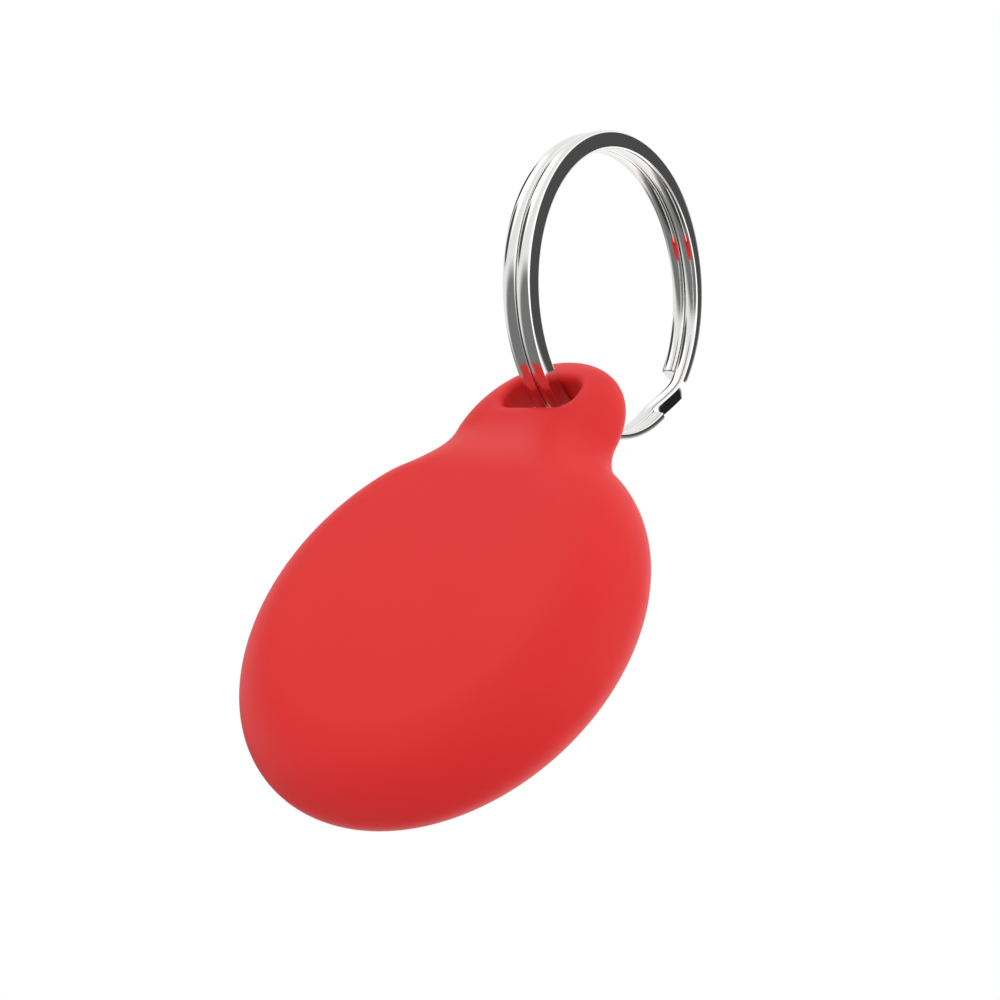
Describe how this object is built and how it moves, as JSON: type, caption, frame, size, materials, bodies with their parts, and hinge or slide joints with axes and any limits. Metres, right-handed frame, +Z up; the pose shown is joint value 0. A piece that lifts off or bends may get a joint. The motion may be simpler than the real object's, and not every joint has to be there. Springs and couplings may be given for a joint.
{
  "type": "bluetooth tracker tag",
  "caption": "Round coin-cell tracker puck in a soft silicone holder with a key-ring lug, hanging from a polished split ring.",
  "frame": {"origin": "centre of the split ring, where the key or hook that carries the tag passes", "axes": "+Z up through the hanging tag towards the top of the ring; the holder's plain front face looks along -Y and its window and the battery door along +Y; the split ring's own axis lies along X"},
  "size_m": [0.038, 0.0306, 0.0726],
  "materials": {
    "silicone": "soft-touch matt silicone",
    "ring_steel": "polished nickel plate",
    "shell_white": "gloss moulded",
    "frame_plastic": "fine spark texture",
    "board_green": "solder mask over glass laminate",
    "tape_black": "acrylic foam tape",
    "chip_black": "moulded epoxy",
    "shield_metal": "drawn tinned can",
    "capacitor_tan": "fired ceramic",
    "copper": "copper",
    "basket_black": "moulded",
    "yoke_steel": "zinc plated",
    "magnet_nickel": "nickel plate",
    "film_grey": "polymer film",
    "contact_gold": "gold flash on spring bronze",
    "cell_steel": "nickel plated steel",
    "gasket_brown": "polypropylene",
    "door_steel": "polished, fine circular brushing",
    "foam_grey": "open-cell foam"
  },
  "bodies": {
    "ring": {"split_ring": "ring_steel"},
    "holder": {"silicone_holder": "silicone"},
    "puck": {"front_shell": "shell_white", "battery_frame": "frame_plastic", "main_board": "board_green", "board_tape": "tape_black", "bluetooth_chip": "chip_black", "ranging_shield": "shield_metal", "flash_memory": "chip_black", "motion_sensor": "chip_black", "audio_amplifier": "chip_black", "crystals": "shield_metal", "bulk_capacitors": "capacitor_tan", "small_passives": "capacitor_tan", "antenna_carrier": "frame_plastic", "bluetooth_antenna": "copper", "ranging_antenna": "copper", "nfc_loop": "copper", "speaker_basket": "basket_black", "speaker_yoke": "yoke_steel", "speaker_magnet": "magnet_nickel", "pole_plate": "yoke_steel", "speaker_surround": "basket_black", "negative_contact": "contact_gold", "positive_contacts": "contact_gold", "cell_can": "cell_steel", "cell_core": "basket_black", "cell_gasket": "gasket_brown", "cell_cap": "cell_steel"},
    "door": {"battery_door": "door_steel", "door_bayonet": "frame_plastic", "door_pad": "foam_grey"},
    "diaphragm": {"speaker_diaphragm": "film_grey", "voice_coil": "copper"}
  },
  "joints": [
    {"name": "ring_turn", "type": "hinge", "parent": "ring", "child": "holder", "pos_m": [0, 0, 0], "axis": [1, 0, 0], "continuous": true},
    {"name": "puck_turn", "type": "hinge", "parent": "holder", "child": "puck", "pos_m": [0, 0, -0.03835], "axis": [0, 1, 0], "continuous": true},
    {"name": "door_turn", "type": "hinge", "parent": "puck", "child": "door", "pos_m": [0, 0, -0.03835], "axis": [0, 1, 0], "range_deg": [0, 24]},
    {"name": "speaker_stroke", "type": "slide", "parent": "puck", "child": "diaphragm", "axis": [0, -1, 0], "range_m": [-0.00015, 0.00015], "stiffness_N_per_m": 200}
  ]
}
